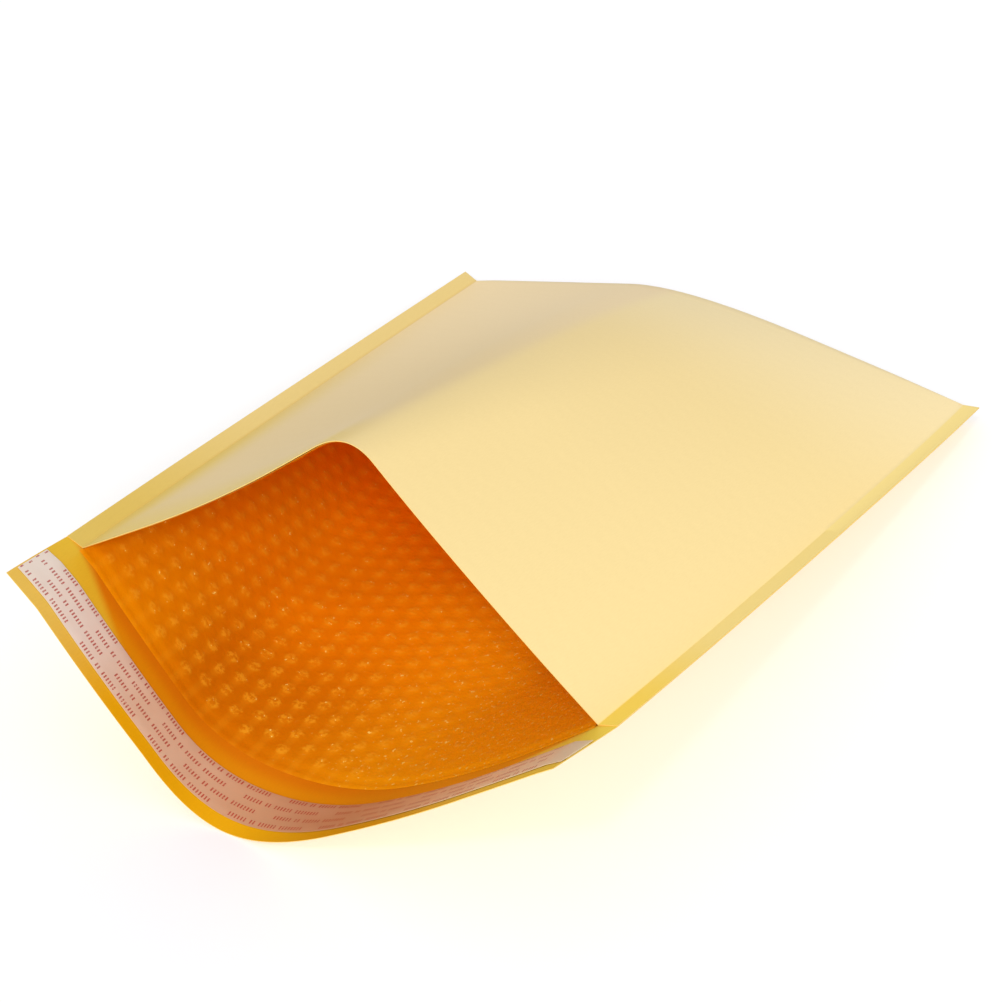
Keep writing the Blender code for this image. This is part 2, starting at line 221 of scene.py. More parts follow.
@dataclass
class SheetForm:
    """Where every point of the lying sheet's inner face is."""

    flat: FlatMailer
    columns: int
    stations: int = 72
    corner_steps: int = 24
    length_passes: int = 6
    # The bend in a wing takes up half of each run beside it
    wing_bend_reach: float = math.inf
    seam_lean: float = 0.46

    def __post_init__(self) -> None:
        """Works out the sections of both panels from the mouth to the fold."""
        backs, fronts, back_moves, front_moves, bands = [], [], [], [], []
        for share in np.linspace(0, 1, self.stations + 1):
            back = self._back_section(MOUTH_LIE.towards(FOLD_LIE, share))
            front = self._front_section(back[0], back[-1], MOUTH_RIDGE.towards(FOLD_RIDGE, share))
            moves = self._panel_moves(back, front)
            backs.append(back)
            fronts.append(front)
            back_moves.append(moves[0])
            front_moves.append(moves[1])
            bands.append(self._band_directions(back, front))
        self.sections = {Panel.BACK: np.array(backs), Panel.FRONT: np.array(fronts)}
        self.moves = {Panel.BACK: np.array(back_moves), Panel.FRONT: np.array(front_moves)}
        self.bands = np.array(bands)
        self.mouth_along = {panel: self._mouth_along(panel) for panel in Panel}

    @property
    def across(self) -> np.ndarray:
        """Each column's distance from the left seam."""
        return np.linspace(0, self.flat.inner_width, self.columns + 1)

    def _rounded(self, points: np.ndarray, reaches: list[float]) -> np.ndarray:
        """The polyline through the points, each inner corner cut by a curve.

        Args:
            points: Corners of the polyline.
            reaches: For each inner corner, how far from it the curve starts.

        Returns:
            The finer polyline.
        """
        pieces = [points[:1]]
        shares = np.linspace(0, 1, self.corner_steps)[:, None]
        for before, corner, after, reach in zip(points, points[1:], points[2:], reaches):
            start = corner + unit(before - corner) * min(reach, np.linalg.norm(before - corner) / 2)
            end = corner + unit(after - corner) * min(reach, np.linalg.norm(after - corner) / 2)
            pieces.append(mix(mix(start, corner, shares), mix(corner, end, shares), shares))
        return np.vstack(pieces + [points[-1:]])

    def _at_columns(self, section: np.ndarray) -> np.ndarray:
        """The section at equal steps of paper.

        Args:
            section: Its polyline.

        Returns:
            One point for each column.
        """
        steps = np.linalg.norm(np.diff(section, axis=0), axis=1)
        along = np.concatenate([[0], np.cumsum(steps)]) / steps.sum()
        shares = np.linspace(0, 1, self.columns + 1)
        return np.column_stack([np.interp(shares, along, section[:, axis]) for axis in (0, 1)])

    def _back_section(self, lie: Lie) -> np.ndarray:
        """The back panel's section, one paper width from seam to seam.

        Args:
            lie: How it lies.

        Returns:
            One point for each column.
        """
        width = self.flat.inner_width
        paper = width
        centre = width * (lie.flat_middle_share - 0.5)
        half_flat = lie.flat_width / 2
        low_left = np.array([centre - half_flat, 0.0])
        low_right = np.array([centre + half_flat, 0.0])
        reaches = [self.wing_bend_reach, lie.bend_reach, lie.bend_reach, self.wing_bend_reach]
        for _ in range(self.length_passes):
            runs = []
            for share in (lie.flat_middle_share, 1 - lie.flat_middle_share):
                wing = share * paper - half_flat
                runs.append(math.sqrt(max(wing**2 - lie.seam_height**2, 0)) + half_flat)
            left = np.array([centre - runs[0], lie.seam_height])
            right = np.array([centre + runs[1], lie.seam_height])
            corners = [
                left,
                self._bowed(low_left, left, lie.left_bow),
                low_left,
                low_right,
                self._bowed(low_right, right, lie.right_bow),
                right,
            ]
            section = self._rounded(np.array(corners), reaches)
            paper += width - length_of(section)
        return self._at_columns(section)

    @staticmethod
    def _bowed(low: np.ndarray, high: np.ndarray, bow: float) -> np.ndarray:
        """The middle of a wing from its low to its high end, pushed out and down by its bow."""
        across = unit(high - low)
        return (low + high) / 2 + np.array([across[1], -across[0]]) * np.sign(across[0]) * bow

    def _front_section(self, left: np.ndarray, right: np.ndarray, ridge: Ridge) -> np.ndarray:
        """The front panel's section, one paper width from seam to seam over its ridge.

        Args:
            left: The left seam's point.
            right: The right seam's point.
            ridge: How it bends.

        Returns:
            One point for each column.
        """
        width = self.flat.inner_width
        paper = width
        chord = np.linalg.norm(right - left)
        along = (right - left) / chord
        up = np.array([-along[1], along[0]])
        for _ in range(self.length_passes):
            left_leg = ridge.place_share * paper
            right_leg = paper - left_leg
            foot = (left_leg**2 - right_leg**2 + chord**2) / (2 * chord)
            top = left + along * foot + up * math.sqrt(max(left_leg**2 - foot**2, 0))
            corners = [left, self._bowed(left, top, ridge.left_sag), top, right]
            section = self._rounded(np.array(corners), [self.wing_bend_reach, ridge.reach])
            paper += width - length_of(section)
        return self._at_columns(section)

    @staticmethod
    def mitres(points: np.ndarray, closed: bool = False) -> np.ndarray:
        """For each point, the move that shifts its two segments by one to their left-hand side.

        Args:
            points: The polyline.
            closed: Whether its last point joins its first.

        Returns:
            One move for each point.
        """
        steps = np.diff(points, axis=0, append=points[:1])
        if not closed:
            steps[-1] = steps[-2]
        steps = steps / np.linalg.norm(steps, axis=1, keepdims=True)
        normals = np.column_stack([-steps[:, 1], steps[:, 0]])
        before = np.roll(normals, 1, axis=0)
        if not closed:
            before[0] = normals[0]
        return (before + normals) / (1 + (before * normals).sum(axis=1, keepdims=True))

    def _panel_moves(self, back: np.ndarray, front: np.ndarray) -> tuple[np.ndarray, np.ndarray]:
        """The moves into the room of the back and the front panel, which share their seam corners."""
        moves = self.mitres(np.vstack([back, front[-2:0:-1]]), closed=True)
        return moves[: len(back)], np.vstack([moves[:1], moves[: len(back) - 2 : -1]])

    def _band_directions(self, back: np.ndarray, front: np.ndarray) -> np.ndarray:
        """The directions in which the two seam bands leave the pouch.

        Args:
            back: The back panel's section.
            front: The front panel's section.

        Returns:
            The unit vectors of the left and the right band.
        """
        directions = []
        for edge, inner in ((0, 1), (-1, -2)):
            wing = unit(back[edge] - back[inner])
            middle = unit(wing + unit(front[edge] - front[inner]))
            directions.append(unit(mix(middle, wing, self.seam_lean)))
        return np.array(directions)

    def _mouth_along(self, panel: Panel) -> np.ndarray:
        """How far the mouth edge is drawn in along Y, so that each line of paper keeps its length."""
        drop = ((self.sections[panel][0] - self.sections[panel][-1]) ** 2).sum(axis=1)
        return self.flat.fold_start - np.sqrt(self.flat.fold_start**2 - drop)

    def _between(self, values: np.ndarray, share: float) -> np.ndarray:
        """The values at a place between two stations.

        Args:
            values: One entry for each station.
            share: How far from the mouth to the fold the place is.

        Returns:
            The entry for that place.
        """
        place = share * self.stations
        station = min(int(place), self.stations - 1)
        return mix(values[station], values[station + 1], place - station)

    def with_bands(self, section: np.ndarray, directions: np.ndarray) -> np.ndarray:
        """The section with the outer edges of both seam bands at its ends.

        Args:
            section: Its points from seam to seam.
            directions: The unit vectors of the left and the right band.

        Returns:
            The points from band edge to band edge.
        """
        left = section[0] + directions[0] * self.flat.seam_width
        right = section[-1] + directions[1] * self.flat.seam_width
        return np.vstack([left, section, right])

    def _placed(self, section: np.ndarray, along: np.ndarray, distance: float) -> Row:
        """A section put in space.

        Args:
            section: Its points.
            along: Where each column lies along Y.
            distance: Its distance from the mouth on the flat sheet.

        Returns:
            One row of points.
        """
        across = self.across
        if len(section) == len(along) + 2:
            along = np.concatenate([along[:1], along, along[-1:]])
            outermost = across[-1] + self.flat.seam_width
            across = np.concatenate([[-self.flat.seam_width], across, [outermost]])
        points = np.column_stack([section[:, 0], along, section[:, 1]])
        places = np.column_stack([across, np.full(len(across), distance), np.zeros(len(across))])
        return Row(points, places)

    def _on_panel(self, panel: Panel, section: np.ndarray, share: float) -> Row:
        """A panel's section, put where it lies between the mouth and the fold."""
        along = mix(self.mouth_along[panel], self.flat.fold_start, share)
        return self._placed(section, along, share * self.flat.fold_start)

    def panel_row(self, panel: Panel, share: float, inset: Values = 0.0) -> Row:
        """A row across a panel from seam to seam.

        Args:
            panel: The panel.
            share: How far from the mouth to the fold it lies.
            inset: How far inside the paper's inner face, for the row or for each column.

        Returns:
            One row of points.
        """
        moves = self._between(self.moves[panel], share) * np.reshape(inset, (-1, 1))
        return self._on_panel(panel, self._between(self.sections[panel], share) + moves, share)

    def outer_row(self, panel: Panel, share: float) -> Row:
        """A row across a panel's outer face, from band edge to band edge.

        Args:
            panel: The panel.
            share: How far from the mouth to the fold it lies.

        Returns:
            One row of points.
        """
        section = self._between(self.sections[panel], share)
        section = self.with_bands(section, self._between(self.bands, share))
        outward = 1 if panel is Panel.FRONT else -1
        section = section + self.mitres(section) * self.flat.paper * outward
        return self._on_panel(panel, section, share)

    def flap_row(self, distance: float, lift: Values) -> Row:
        """A row across the flap, from band edge to band edge.

        Args:
            distance: How far past the mouth it lies.
            lift: How far above the paper's inner face, for the row or for each point.

        Returns:
            One row of points.
        """
        share = distance / self.flat.flap_length
        section = self._back_section(MOUTH_LIE.towards(FLAP_END_LIE, share))
        left = unit(mix(self.bands[0][0], unit(section[0] - section[1]), share))
        right = unit(mix(self.bands[0][1], unit(section[-1] - section[-2]), share))
        drop = ((section - self.sections[Panel.BACK][0]) ** 2).sum(axis=1)
        along = self.mouth_along[Panel.BACK] - np.sqrt(distance**2 - drop)
        section = self.with_bands(section, np.array([left, right]))
        section = section + self.mitres(section) * np.reshape(lift, (-1, 1))
        return self._placed(section, along, -distance)

    def fold_rows(self, first: Row, second: Row, steps: int) -> list[Row]:
        """Rows of the half-round fold between the ends of two panels.

        Args:
            first: The last row of the one panel.
            second: The last row of the other.
            steps: How many rows lie between them.

        Returns:
            The rows, from the first panel to the second.
        """
        half = (first.points - second.points) / 2
        bulge = np.zeros_like(half)
        bulge[:, 1] = np.linalg.norm(half, axis=1)
        rows = []
        for angle in np.linspace(0, math.pi, steps + 2)[1:-1]:
            points = (first.points + second.points) / 2 + half * math.cos(angle) + bulge * math.sin(angle)
            rows.append(Row(points, first.places))
        return rows


class Skin:
    """Rows of points joined into one mesh."""

    def __init__(self) -> None:
        """Starts with no points."""
        self.points: list[np.ndarray] = []
        self.places: list[np.ndarray] = []
        self.puffs: list[float] = []
        self.faces: list[tuple[int, ...]] = []
        self.finishes: list[int] = []

    def lay(self, row: Row, puffs: np.ndarray | None = None) -> list[int]:
        """Adds a row of points.

        Args:
            row: The points and their places.
            puffs: How full the bubble is at each point, none if left out.

        Returns:
            The points' numbers.
        """
        first = len(self.points)
        self.points.extend(row.points)
        self.places.extend(row.places)
        self.puffs.extend(np.zeros(len(row.points)) if puffs is None else puffs)
        return list(range(first, len(self.points)))

    def face(self, corners: tuple[int, ...], finish: int) -> None:
        """Adds a face, which keeps one of any equal corners, unless fewer than three are left.

        Args:
            corners: Its points' numbers, in order round it.
            finish: The number of its finish.
        """
        kept = tuple(dict.fromkeys(corners))
        if len(kept) > 2:
            self.faces.append(kept)
            self.finishes.append(finish)

    def strip(self, first: list[int], second: list[int], finish: int) -> None:
        """One face for each step along a pair of rows."""
        for a, b, c, d in zip(first, first[1:], second[1:], second):
            self.face((a, b, c, d), finish)

    def strips(self, rows: list[list[int]], finish: int) -> None:
        """A strip between each row and the next."""
        for first, second in zip(rows, rows[1:]):
            self.strip(first, second, finish)

    def make(
        self, name: str, materials: list[bpy.types.Material], shift: np.ndarray, crease: float
    ) -> bpy.types.Object:
        """Makes the object.

        Args:
            name: Its name.
            materials: Its materials, in the order of the finish numbers.
            shift: The move from the form's place to the frame's.
            crease: Angle in radians past which an edge stays sharp.

        Returns:
            The new object.
        """
        mesh = bpy.data.meshes.new(name)
        mesh.from_pydata((np.array(self.points) + shift).tolist(), [], self.faces)
        mesh.polygons.foreach_set("material_index", self.finishes)
        for material in materials:
            mesh.materials.append(material)
        place = mesh.attributes.new(PLACE, "FLOAT_VECTOR", "POINT")
        place.data.foreach_set("vector", np.array(self.places, np.float32).ravel())
        puff = mesh.attributes.new(PUFF, "FLOAT", "POINT")
        puff.data.foreach_set("value", np.array(self.puffs, np.float32))
        mesh.validate()
        mesh.update()
        made = bpy.data.objects.new(name, mesh)
        bpy.context.scene.collection.objects.link(made)
        self._face_outwards(mesh)
        mesh.shade_smooth()
        mesh.set_sharp_from_angle(angle=crease)
        return made

    @staticmethod
    def _face_outwards(mesh: bpy.types.Mesh) -> None:
        """Turns every face of a closed mesh to the outside.

        Args:
            mesh: The mesh.
        """
        shape = bmesh.new()
        shape.from_mesh(mesh)
        bmesh.ops.recalc_face_normals(shape, faces=shape.faces)
        shape.to_mesh(mesh)
        shape.free()


class NodeWriter:
    """Writes the node tree of one material round its Principled shader."""

    def __init__(self, name: str) -> None:
        """Starts the material.

        Args:
            name: Its name.
        """
        self.material = bpy.data.materials.new(name)
        self.material.use_nodes = True
        self.tree = self.material.node_tree
        self.shader = self.tree.nodes["Principled BSDF"]

    def node(self, kind: str, inputs: dict | None = None, **settings: object) -> bpy.types.Node:
        """Adds a node.

        Args:
            kind: Its type.
            inputs: Values or sockets for its inputs, by name or number.
            **settings: Its own properties.

        Returns:
            The node.
        """
        made = self.tree.nodes.new(kind)
        for key, value in settings.items():
            setattr(made, key, value)
        for key, value in (inputs or {}).items():
            self.feed(made.inputs[key], value)
        return made

    def feed(self, socket: bpy.types.NodeSocket, value: object) -> None:
        """Links a socket to another one, or sets its value.

        Args:
            socket: The socket.
            value: The other socket, or the value.
        """
        if isinstance(value, bpy.types.NodeSocket):
            self.tree.links.new(value, socket)
        elif isinstance(value, tuple) and socket.type == "RGBA":
            socket.default_value = (*value, 1.0)
        else:
            socket.default_value = value

    def maths(self, operation: str, *values: object) -> bpy.types.NodeSocket:
        """The result of a Math node."""
        return self.node("ShaderNodeMath", dict(enumerate(values)), operation=operation).outputs[0]

    def product(self, first: object, *others: object) -> bpy.types.NodeSocket:
        """The product of values.

        Args:
            first: The first value.
            *others: The values that it is multiplied by.

        Returns:
            The socket of the product.
        """
        for other in others:
            first = self.maths("MULTIPLY", first, other)
        return first

    def soft_step(self, value: object, span: Span) -> bpy.types.NodeSocket:
        """A soft rise from 0 at the span's first value to 1 at its second, which may be the lower one."""
        inputs = {"Value": value, "From Min": span[0], "From Max": span[1]}
        return self.node("ShaderNodeMapRange", inputs, interpolation_type="SMOOTHSTEP").outputs["Result"]

    def blend(
        self, factor: object, first: object, second: object, kind: str = "MIX"
    ) -> bpy.types.NodeSocket:
        """The mix of two colours.

        Args:
            factor: How much of the second one it holds.
            first: The first colour.
            second: The second colour.
            kind: How the second one is laid on.

        Returns:
            The socket of the mix.
        """
        made = self.node("ShaderNodeMix", data_type="RGBA", blend_type=kind)
        for socket, value in zip((made.inputs[0], made.inputs[6], made.inputs[7]), (factor, first, second)):
            self.feed(socket, value)
        return made.outputs[2]

    def fade(self, value: object, span: Span, first: object, second: object) -> bpy.types.NodeSocket:
        """The first colour, which turns softly into the second where the value crosses the span."""
        return self.blend(self.soft_step(value, span), first, second)

    def noise(self, vector: object, grain: Grain) -> bpy.types.NodeSocket:
        """A noise value between 0 and 1."""
        inputs = {"Vector": vector, "Scale": grain[0], "Detail": grain[1], "Roughness": grain[2]}
        return self.node("ShaderNodeTexNoise", inputs).outputs["Fac"]

    def stretched(self, vector: object, scale: Direction) -> bpy.types.NodeSocket:
        """The coordinates, scaled along each axis."""
        return self.node("ShaderNodeMapping", {"Vector": vector, "Scale": scale}).outputs[0]

    def bump(self, height: object, relief: Relief, under: object = None) -> bpy.types.NodeSocket:
        """A bumped normal.

        Args:
            height: Its height, from 0 to 1.
            relief: How strong and how high it is.
            under: The normal that it lies on, if any.

        Returns:
            The socket of the normal.
        """
        inputs = {"Height": height, "Strength": relief[0], "Distance": relief[1]}
        if under is not None:
            inputs["Normal"] = under
        return self.node("ShaderNodeBump", inputs).outputs[0]

    def set(self, **inputs: object) -> None:
        """Sets or links the shader's inputs, whose names are written with an underscore for a space."""
        for key, value in inputs.items():
            self.feed(self.shader.inputs[key.replace("_", " ")], value)


class SheetWriter(NodeWriter):
    """Writes a material that varies with the place on the flat sheet."""

    def __init__(self, name: str) -> None:
        """Starts the material and reads the places.

        Args:
            name: Its name.
        """
        super().__init__(name)
        self.vector = self.node("ShaderNodeAttribute", attribute_name=PLACE).outputs["Vector"]
        self.across, self.along, _ = self.node("ShaderNodeSeparateXYZ", {0: self.vector}).outputs


@dataclass(frozen=True)
class PaperFibres:
    """The fine fibres of kraft paper, which lie along the mailer."""

    tint: Colour
    strength: float
    height: float = 0.0002
    stretch: Direction = (1600.0, 260.0, 1.0)
    grain: Grain = (1.0, 4.0, 0.6)
    shaded: Span = (0.25, 0.8)

    def laid(
        self, writer: SheetWriter, colour: object
    ) -> tuple[bpy.types.NodeSocket, bpy.types.NodeSocket]:
        """Lays the fibres on a colour.

        Args:
            writer: The material's writer.
            colour: The colour.

        Returns:
            The colour with the fibres, and their bumped normal.
        """
        fibres = writer.noise(writer.stretched(writer.vector, self.stretch), self.grain)
        colour = writer.blend(writer.soft_step(fibres, self.shaded), colour, self.tint, "MULTIPLY")
        return colour, writer.bump(fibres, (self.strength, self.height))


@dataclass(frozen=True)
class KraftFinish:
    """Smooth golden kraft with painted light and shade, its seam bands yellower and deeper by the mouth.

    Painted light makes it paler far away. Painted shade greys the side left of the ridge, with a yellower
    rim by the mouth, darkens the left crease and makes the left band darker than the right one, which is
    painted lit. The bubbles behind it show faintly through. Each fade is a span of the way from the mouth.
    """

    panel: Colour = from_screen(250, 223, 156)
    # Painted light: the panel is painted paler towards the far end
    lit_far_panel: Colour = from_screen(255, 232, 176)
    lit_far_panel_fade: Span = (0.22, 0.37)
    # Painted shade: the side left of the ridge, which faces away from the lamps, is painted greyer, less so
    # far away
    shaded_left_side: Colour = from_screen(238, 210, 152)
    shaded_left_side_far: Colour = from_screen(250, 224, 174)
    shaded_left_side_fade: Span = (0.08, 0.34)
    ridge_at_mouth: float = 0.1415
    ridge_at_fold: float = 0.1183
    # How far right of the ridge the painted shade of the left side starts, and how far left of it nothing
    # else is left
    past_ridge: Span = (0.004, -0.010)
    # A yellower rim along the mouth and the left seam, which the painted shade of the left side gives way
    # to
    rim: Colour = from_screen(238, 207, 110)
    rim_span: Span = (0.019, 0.001)
    # The rim's scale for the way from the seam, and its scale and start for the way from the mouth
    rim_by_edge: float = 0.7
    rim_by_mouth: tuple[float, float] = (0.34, 0.002)
    rim_fade: Span = (0.30, 0.05)
    # The bands' own yellower colour, deeper by the mouth, with painted light: the left band painted darker
    # as shaded, the right one lighter as lit
    shaded_left_band: Colour = from_screen(232, 204, 130)
    shaded_left_band_near: Colour = from_screen(222, 190, 92)
    shaded_left_band_fade: Span = (0.02, 0.16)
    lit_right_band: Colour = from_screen(255, 228, 142)
    lit_right_band_near: Colour = from_screen(255, 218, 84)
    lit_right_band_fade: Span = (0.015, 0.09)
    band_blend: float = 0.0007
    # Painted shade in the crease along the left seam
    crease: Colour = from_screen(214, 176, 88)
    crease_shade_span: Span = (0.0012, 0.0002)
    crease_shade_strength: float = 0.35
    fibres: PaperFibres = PaperFibres(tint=(0.975, 0.968, 0.95), strength=0.10)
    streak_stretch: Direction = (150.0, 7.0, 1.0)
    streaks: Grain = (1.0, 2.0, 0.5)
    streak_relief: Relief = (0.10, 0.0004)
    bubble_relief: Relief = (0.06, 0.0003)
    roughness: float = 0.55
    specular: float = 0.35

    def _left_shade(self, writer: SheetWriter, flat: FlatMailer, colour: object) -> bpy.types.NodeSocket:
        """Paints shade on the side that falls away left of the ridge, paler far away, with its yellower
        rim.

        Args:
            writer: The material's writer.
            flat: Sizes of the flat mailer.
            colour: The colour of the rest.

        Returns:
            The colour with that painted shade.
        """
        slope = (self.ridge_at_fold - self.ridge_at_mouth) / flat.body_length
        ridge = writer.maths("SUBTRACT", writer.across, writer.product(writer.along, slope))
        span = (self.ridge_at_mouth + self.past_ridge[0], self.ridge_at_mouth + self.past_ridge[1])
        # The painted shade of the side left of the ridge, paler towards the far end, and its yellower rim
        left = writer.soft_step(ridge, span)
        side = writer.fade(writer.along, self.shaded_left_side_fade, self.shaded_left_side, self.shaded_left_side_far)
        colour = writer.blend(left, colour, side)
        by_mouth = writer.maths("MULTIPLY_ADD", writer.along, *self.rim_by_mouth)
        by_edge = writer.product(writer.across, self.rim_by_edge)
        rim = writer.soft_step(writer.maths("MINIMUM", by_edge, by_mouth), self.rim_span)
        rim = writer.product(rim, left, writer.soft_step(writer.along, self.rim_fade))
        return writer.blend(rim, colour, self.rim)

    def _band_colours(self, writer: SheetWriter, flat: FlatMailer, colour: object) -> bpy.types.NodeSocket:
        """Colours both pressed seam bands, the left one painted darker as shaded and the right one lighter
        as lit, and paints shade in the crease along the left one.

        Args:
            writer: The material's writer.
            flat: Sizes of the flat mailer.
            colour: The colour between them.

        Returns:
            The colour with the bands.
        """
        # Painted shade on the left band and painted light on the right one
        band = writer.fade(writer.along, self.shaded_left_band_fade, self.shaded_left_band_near, self.shaded_left_band)
        colour = writer.fade(writer.across, (self.band_blend, -self.band_blend), colour, band)
        band = writer.fade(writer.along, self.lit_right_band_fade, self.lit_right_band_near, self.lit_right_band)
        past_right = writer.maths("SUBTRACT", writer.across, flat.inner_width)
        colour = writer.fade(past_right, (-self.band_blend, self.band_blend), colour, band)
        # Painted shade along the left crease
        crease = writer.soft_step(writer.maths("ABSOLUTE", writer.across), self.crease_shade_span)
        return writer.blend(writer.product(crease, self.crease_shade_strength), colour, self.crease)

    def material(self, flat: FlatMailer) -> bpy.types.Material:
        """The material of the outside.

        Args:
            flat: Sizes of the flat mailer.

        Returns:
            The material.
        """
        writer = SheetWriter("kraft_outside")
        # Painted light: paler towards the far end
        colour = writer.fade(writer.along, self.lit_far_panel_fade, self.panel, self.lit_far_panel)
        colour = self._left_shade(writer, flat, colour)
        colour = self._band_colours(writer, flat, colour)
        colour, normal = self.fibres.laid(writer, colour)
        streaks = writer.noise(writer.stretched(writer.vector, self.streak_stretch), self.streaks)
        normal = writer.bump(streaks, self.streak_relief, normal)
        columns = writer.maths("COSINE", writer.product(writer.across, math.pi / flat.row_spacing))
        steps = writer.maths("COSINE", writer.product(writer.along, 2 * math.pi / flat.bubble_pitch))
        normal = writer.bump(writer.product(columns, steps), self.bubble_relief, normal)
        writer.set(Base_Color=colour, Roughness=self.roughness, Normal=normal)
        writer.set(Specular_IOR_Level=self.specular)
        return writer.material


@dataclass(frozen=True)
class InnerKraftFinish:
    """The kraft's inner face on the flap, in painted light and shade.

    It is orange by the pouch, as painted shade with orange bounce light, and golden past the cover and at
    the corners, as painted light.
    """

    # Painted shade and orange bounce light in the trough by the pouch, a little lighter further from the
    # mouth and painted much lighter at the right end
    shaded_trough: Colour = from_screen(218, 124, 2)
    trough_edge: Colour = from_screen(224, 144, 4)
    trough_edge_fade: Span = (0.004, 0.012)
    lit_trough_right: Colour = from_screen(248, 172, 22)
    lit_trough_right_fade: Span = (0.14, 0.06)
    # Painted light: the corners beyond the front panel's shade are painted golden, brighter at the right
    corner: Colour = from_screen(230, 186, 44)
    lit_corner_right: Colour = from_screen(255, 220, 76)
    lit_corner_right_fade: Span = (0.08, 0.05)
    corner_blend: Span = (-0.004, 0.002)
    # How far the painted shade of the trough reaches past the mouth, and how far from the seam it does so
    trough_reach: float = 0.016
    corner_run: float = 0.045
    # The margin past the cover: golden at the sides, orange in the middle as painted orange bounce light,
    # and painted lighter at the right end as lit
    margin_side: Colour = from_screen(234, 194, 84)
    margin_middle: Colour = from_screen(234, 174, 4)
    margin_middle_fade: Span = (0.01, 0.06)
    lit_margin_right: Colour = from_screen(254, 214, 74)
    lit_margin_right_fade: Span = (0.09, 0.03)
    margin_start: Span = (0.024, 0.028)
    fibres: PaperFibres = PaperFibres(tint=(0.96, 0.945, 0.91), strength=0.12)
    roughness: float = 0.5
    specular: float = 0.25

    def material(self, flat: FlatMailer) -> bpy.types.Material:
        """The material of the inside.

        Args:
            flat: Sizes of the flat mailer.

        Returns:
            The material.
        """
        writer = SheetWriter("kraft_inside")
        past = writer.product(writer.along, -1.0)
        from_right = writer.maths("SUBTRACT", flat.inner_width, writer.across)
        nearest = writer.maths("MINIMUM", writer.across, from_right)
        # Painted light and shade: the orange trough and the golden corners
        shaded_trough = writer.fade(past, self.trough_edge_fade, self.shaded_trough, self.trough_edge)
        shaded_trough = writer.fade(from_right, self.lit_trough_right_fade, shaded_trough, self.lit_trough_right)
        corner = writer.fade(from_right, self.lit_corner_right_fade, self.corner, self.lit_corner_right)
        reach = writer.product(nearest, self.trough_reach / self.corner_run)
        colour = writer.fade(writer.maths("SUBTRACT", reach, past), self.corner_blend, corner, shaded_trough)
        # Painted light and orange bounce light on the margin
        margin = writer.fade(writer.across, self.margin_middle_fade, self.margin_side, self.margin_middle)
        margin = writer.fade(from_right, self.lit_margin_right_fade, margin, self.lit_margin_right)
        colour = writer.fade(past, self.margin_start, colour, margin)
        colour, normal = self.fibres.laid(writer, colour)
        writer.set(Base_Color=colour, Roughness=self.roughness, Normal=normal)
        writer.set(Specular_IOR_Level=self.specular)
        return writer.material


@dataclass(frozen=True)
class CutEdgeFinish:
    """The paler fibres of the sheet's cut edge."""

    colour: Colour = from_screen(238, 206, 124)
    dark: Colour = from_screen(220, 176, 74)
    grain: Grain = (900.0, 2.0, 0.5)
    roughness: float = 0.8

    def material(self) -> bpy.types.Material:
        """The material of the cut edges.

        Returns:
            The material.
        """
        writer = SheetWriter("kraft_cut_edge")
        colour = writer.blend(writer.noise(writer.vector, self.grain), self.dark, self.colour)
        writer.set(Base_Color=colour, Roughness=self.roughness)
        return writer.material


